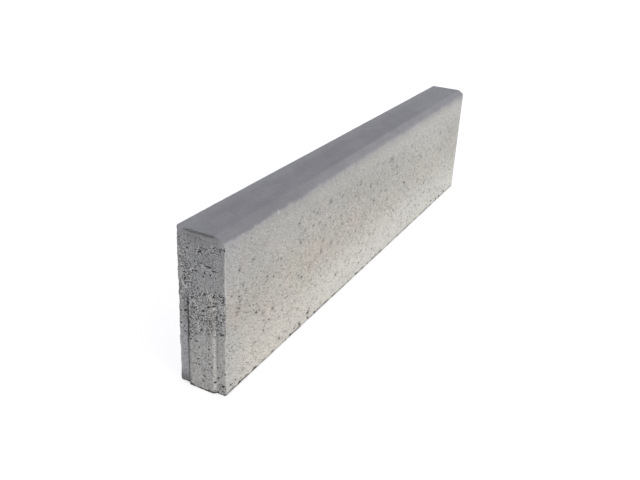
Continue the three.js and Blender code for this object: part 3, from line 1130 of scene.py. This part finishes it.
def skin_tone(tree, at, mix):
    """The rammed skin's colour: blotted along the kerb, paler at the far end, at the back and by the tongue
    end, and darker on the chamfer, where shade is painted because it faces the key more than the top."""
    swept = add(tree, "ShaderNodeMapping", AS_TEXTURE, at.place, Scale=(1.6, 1, 1))
    blot = add(tree, "ShaderNodeTexNoise", {}, swept, 1 / (32 * MM), 3.0, 0.5)
    blotted = add(tree, "ShaderNodeMapRange", RAMP, blot, 0.34, 0.66)
    tone = add(tree, "ShaderNodeMix", MIX, blotted, linear("#98999E"), linear("#A4A5AA"))
    far_skin = add(tree, "ShaderNodeMapRange", RAMP, at.along, 50 * MM, 450 * MM, 0.0, 0.45)
    tone = add(tree, "ShaderNodeMix", MIX, far_skin, tone, linear("#B1B3BC"))
    by_back = add(tree, "ShaderNodeMapRange", RAMP, at.across, 12 * MM, 36 * MM, 0.0, 0.6)
    tone = add(tree, "ShaderNodeMix", MIX, by_back, tone, linear("#B4B5BB"))
    near_skin = add(tree, "ShaderNodeMapRange", RAMP, at.along, -490 * MM, -440 * MM, 0.3, 0.0)
    tone = add(tree, "ShaderNodeMix", MIX, near_skin, tone, linear("#B4B5BD"))
    smear = add(tree, "ShaderNodeMapRange", RAMP, mix.mottle, 0.4, 0.6, 0.0, 0.26)
    tone = add(tree, "ShaderNodeMix", MIX, smear, tone, linear("#86868B"))
    skin_sand = add(tree, "ShaderNodeMapRange", {}, mix.flecks, 0.35, 0.65, 0.0, 0.3)
    tone = add(tree, "ShaderNodeMix", MIX, skin_sand, tone, linear("#8D8D92"))
    # Painted shade on the chamfer, which faces the key more than the top does.
    chamfer_painted_shade = add(tree, "ShaderNodeMapRange", RAMP, at.across, -24.5 * MM, -29.5 * MM)
    near_chamfer = add(tree, "ShaderNodeMapRange", RAMP, at.along, -350 * MM, -100 * MM, 0.47, 0.13)
    far_chamfer = add(tree, "ShaderNodeMapRange", RAMP, at.along, 0.0, 450 * MM, 0.0, 0.12)
    chamfer_tone = add(tree, "ShaderNodeMath", PLUS, near_chamfer, far_chamfer)
    chamfer_painted_shade = add(tree, "ShaderNodeMath", TIMES, chamfer_painted_shade, chamfer_tone)
    return add(tree, "ShaderNodeMix", MIX, chamfer_painted_shade, tone, linear("#77787D"))


def rammed_skin(tree, at, mix, colour):
    """The rammed skin over the top and the chamfer is closed and darker. Its lower edge is ragged, and
    below it the cement fades out down the face."""
    wave = add(tree, "ShaderNodeTexNoise", {}, at.place, 1 / (28 * MM), 4.0, 0.7)
    wavy_height = add(tree, "ShaderNodeMath", TIMES_PLUS, wave, 24 * MM, at.height)
    fade_foot = add(tree, "ShaderNodeMapRange", {}, at.along, LOW.x, 0.0, 234 * MM, 226 * MM)
    fading = add(tree, "ShaderNodeMapRange", RAMP, wavy_height, fade_foot, 257 * MM, 0.0, 0.65)
    colour = add(tree, "ShaderNodeMix", MIX, fading, colour, linear("#98989C"))
    foot = (CHAMFER_FOOT_Z + 9.5 * MM, CHAMFER_FOOT_Z + 0.5 * MM)
    skin_foot = add(tree, "ShaderNodeMapRange", {}, at.along, LOW.x, HIGH.x, *foot)
    whole = (CHAMFER_FOOT_Z + 13 * MM, CHAMFER_FOOT_Z + 15 * MM)
    skin_whole = add(tree, "ShaderNodeMapRange", {}, at.along, LOW.x, HIGH.x, *whole)
    rammed = add(tree, "ShaderNodeMapRange", RAMP, wavy_height, skin_foot, skin_whole)
    rammed = add(tree, "ShaderNodeMath", TIMES, rammed, at.off_ends)
    rammed = add(tree, "ShaderNodeMath", MAXIMUM, rammed, at.wrapped)
    return add(tree, "ShaderNodeMix", MIX, rammed, colour, skin_tone(tree, at, mix)), rammed


def pin_holes(tree, mix, rammed, colour):
    """Small pores, mostly 1 to 4 mm long, darkened with painted shade. They are too many to cut into the
    mesh, and there are none in the rammed skin."""
    pores = add(tree, "ShaderNodeTexVoronoi", {}, mix.laid, 1 / (3.9 * MM))
    kind = add(tree, "ShaderNodeSeparateColor", {}, pores.outputs["Color"])
    reach = add(tree, "ShaderNodeMapRange", RAMP, kind.outputs["Blue"], 0.35, 1.0, 0.0, 0.27)
    from_rim = add(tree, "ShaderNodeMath", MINUS, reach, pores.outputs["Distance"])
    pore = add(tree, "ShaderNodeMapRange", RAMP, from_rim, -0.02, 0.06)
    unrammed = add(tree, "ShaderNodeMath", MINUS, 1.0, rammed)
    pore = add(tree, "ShaderNodeMath", TIMES, pore, unrammed)
    pore = add(tree, "ShaderNodeMath", TIMES, pore, mix.coarse)
    # Painted shade in the pores.
    tone = add(tree, "ShaderNodeMath", TIMES, pore, 0.75)
    return add(tree, "ShaderNodeMix", MIX, tone, colour, linear("#4F4C48")), pore


FLAKE_PLACE = (TONGUE_FACE_X + 134 * MM, FACE_Y, TOP_Z - 11 * MM)
FLAKE_REACH = 5 * MM


def broken_flake(tree, at, colour):
    """A flake is broken off the foot of the chamfer, fresh and pale."""
    to_flake = add(tree, "ShaderNodeVectorMath", MINUS, at.place, FLAKE_PLACE)
    shares = (1.4 / FLAKE_REACH, 0.0, 1.1 / FLAKE_REACH)  # shorter along than up
    to_flake = add(tree, "ShaderNodeVectorMath", TIMES, to_flake, shares)
    to_flake = add(tree, "ShaderNodeVectorMath", {"operation": "LENGTH"}, to_flake)
    flake = add(tree, "ShaderNodeMapRange", RAMP, to_flake.outputs["Value"], 0.3, 1.0, 0.4, 0.0)
    on_front = add(tree, "ShaderNodeMath", BELOW, at.across, 0.0)
    flake = add(tree, "ShaderNodeMath", TIMES, flake, on_front)
    return add(tree, "ShaderNodeMix", MIX, flake, colour, linear("#E6E5EC"))


def rubs_dirt_and_painted_light(tree, at, colour):
    """Rubbed arrises are paler, partly as painted highlight. Void walls are dark with painted shade and
    dirt, the bed's arris with a painted contact shadow, and painted shade with dust lies where it is marked.
    """
    # Paler arrises and flanks, partly rubbed and partly painted highlight.
    rub_and_highlight_tone = add(tree, "ShaderNodeMath", TIMES, at.rubbed, 0.4)
    colour = add(tree, "ShaderNodeMix", MIX, rub_and_highlight_tone, colour, linear("#D0D1D0"))
    # A painted contact shadow along the bed's arrises, with a ragged upper edge.
    lift = add(tree, "ShaderNodeTexNoise", {}, at.place, 1 / (17 * MM), 4.0, 0.7)
    ragged_height = add(tree, "ShaderNodeMath", TIMES_PLUS, lift, -16 * MM, at.height)
    painted_contact_shadow = add(tree, "ShaderNodeMapRange", RAMP, ragged_height, -6 * MM, -2.6 * MM, 0.9, 0.0)
    colour = add(tree, "ShaderNodeMix", MIX, painted_contact_shadow, colour, linear("#454340"))
    # Painted shade, with some dust, by the tongue's flanks, under its lip and in the groove's corners.
    dust_and_shade_tone = add(tree, "ShaderNodeMath", TIMES, at.sheltered, 0.85)
    colour = add(tree, "ShaderNodeMix", MIX, dust_and_shade_tone, colour, linear("#404043"))
    # Painted shade and dirt in the voids, chips and gaps.
    hollow_shade_and_dirt = add(tree, "ShaderNodeMapRange", {}, at.end, 0.0, 1.0, 0.8, 0.92)
    hollow_shade_and_dirt = add(tree, "ShaderNodeMath", TIMES, hollow_shade_and_dirt, at.hollow)
    return add(tree, "ShaderNodeMix", MIX, hollow_shade_and_dirt, colour, linear("#3F3C39"))


def relief(tree, at, mix, crumbs, pore, rammed):
    """Heights in metres: crumbs where the mix is loose, and sand and pores, a quarter as deep on the
    rammed skin. Sand of about half a millimetre is too fine to show, and is drawn at 1.1 mm."""
    crumb_relief = add(tree, "ShaderNodeMath", TIMES, crumbs, -1.1 * MM)
    crumb_relief = add(tree, "ShaderNodeMath", TIMES, crumb_relief, at.loose)
    fine = add(tree, "ShaderNodeTexNoise", {}, mix.laid, 1 / (1.1 * MM), 3.0, 0.65)
    sand = add(tree, "ShaderNodeMath", TIMES, fine, 0.35 * MM)
    pitted = add(tree, "ShaderNodeMath", TIMES_PLUS, pore, -0.5 * MM, sand)
    closed = add(tree, "ShaderNodeMapRange", {}, rammed, 0.0, 1.0, 1.0, 0.25)
    pitted = add(tree, "ShaderNodeMath", TIMES, pitted, closed)
    height = add(tree, "ShaderNodeMath", PLUS, pitted, crumb_relief)
    return add(tree, "ShaderNodeBump", {}, Height=height, Distance=1.0, Strength=1.0)


def pressed_concrete():
    """Dry-pressed concrete: an earth-damp mix of sand, fine gravel and grey cement, rammed in a steel
    mould and stripped at once. The eye sees a matt grey with sand grains and open pores, and a
    closed, darker cement skin where the rammer pressed it."""
    material = bpy.data.materials.new("dry_pressed_concrete")
    material.use_nodes = True
    tree = material.node_tree
    tree.nodes.clear()
    at = places_and_marks(tree)
    colour = cement_paste(tree, at)
    colour, palest = tones_along(tree, at, colour)
    mix = fine_mix(tree, at, palest)
    colour = mottling_and_sand(tree, at, mix, colour)
    colour = end_tones(tree, at, colour)
    colour, crumbs = open_mix(tree, at, colour)
    colour = mould_marks(tree, at, colour)
    colour, rammed = rammed_skin(tree, at, mix, colour)
    colour, pore = pin_holes(tree, mix, rammed, colour)
    colour = broken_flake(tree, at, colour)
    colour = rubs_dirt_and_painted_light(tree, at, colour)
    bump = relief(tree, at, mix, crumbs, pore, rammed)
    dry = add(tree, "ShaderNodeMapRange", {}, rammed, 0.0, 1.0, 0.95, 0.78)
    surface = add(
        tree, "ShaderNodeBsdfPrincipled", {},
        Base_Color=colour, Roughness=dry, Specular_IOR_Level=0.4, Normal=bump,
    )
    add(tree, "ShaderNodeOutputMaterial", {}, surface)
    return material


# ---------------------------------------------------------------------------------------------
# Studio

FLOOR_REACH = 14
FLOOR_GLOW = 0.57  # brings the lit floor to white where it is seen
SKY_STRENGTH = 0.68
KEY_PLACE = (-3.2, -14.0, 2.1)
KEY_AIM = (0.0, 0.0, 0.1)
KEY_SIZE = (4.8, 2.4)
KEY_POWER = 990


def seen_rays(tree):
    """1 where the background is looked at, also in metal or through glass, and 0 where it is light."""
    rays = add(tree, "ShaderNodeLightPath", {}).outputs
    seen = add(tree, "ShaderNodeMath", MAXIMUM, rays["Is Camera Ray"], rays["Is Glossy Ray"])
    return add(tree, "ShaderNodeMath", MAXIMUM, seen, rays["Is Transmission Ray"])


def studio_floor():
    """A plain pale floor, white to the camera, that keeps the kerb's shadow."""
    mesh = bpy.data.meshes.new("floor")
    sheet = bmesh.new()
    bmesh.ops.create_grid(sheet, x_segments=1, y_segments=1, size=FLOOR_REACH)
    sheet.to_mesh(mesh)
    sheet.free()
    floor = bpy.data.objects.new("floor", mesh)
    bpy.context.scene.collection.objects.link(floor)
    material = bpy.data.materials.new("floor")
    material.use_nodes = True
    tree = material.node_tree
    tree.nodes.clear()
    matt = add(tree, "ShaderNodeBsdfDiffuse", {}, Color=linear("#F4F4F4"))
    strength = add(tree, "ShaderNodeMath", TIMES, seen_rays(tree), FLOOR_GLOW)
    glow = add(tree, "ShaderNodeEmission", {}, (1, 1, 1, 1), strength)
    both = add(tree, "ShaderNodeAddShader", {}, matt, glow)
    add(tree, "ShaderNodeOutputMaterial", {}, both)
    mesh.materials.append(material)


def softbox(name, place, aim, size, power, colour):
    lamp = bpy.data.lights.new(name, "AREA")
    lamp.shape = "RECTANGLE"
    lamp.size, lamp.size_y = size
    lamp.energy = power
    lamp.color = linear(colour)[:3]
    light = bpy.data.objects.new(name, lamp)
    turn = (Vector(aim) - Vector(place)).to_track_quat("-Z", "Y").to_matrix().to_4x4()
    light.matrix_world = Matrix.Translation(place) @ turn
    bpy.context.scene.collection.objects.link(light)


def studio_light():
    """An even pale sky, and one large softbox far off on the side of the chamfered face."""
    world = bpy.data.worlds.new("studio")
    world.use_nodes = True
    tree = world.node_tree
    tree.nodes.clear()
    soft = add(tree, "ShaderNodeBackground", {}, linear("#E3E3E8"), SKY_STRENGTH)
    white = add(tree, "ShaderNodeBackground", {}, (1, 1, 1, 1), 1.0)
    both = add(tree, "ShaderNodeMixShader", {}, seen_rays(tree), soft, white)
    add(tree, "ShaderNodeOutputWorld", {}, both)
    bpy.context.scene.world = world
    softbox("key", KEY_PLACE, KEY_AIM, KEY_SIZE, KEY_POWER, "#FFFAF2")


kerb = cast_kerb()
kerb.data.materials.append(pressed_concrete())
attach(kerb, "root")
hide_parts(CAST_NODE)

studio_floor()
studio_light()

view = bpy.context.scene.view_settings
view.view_transform = "Standard"
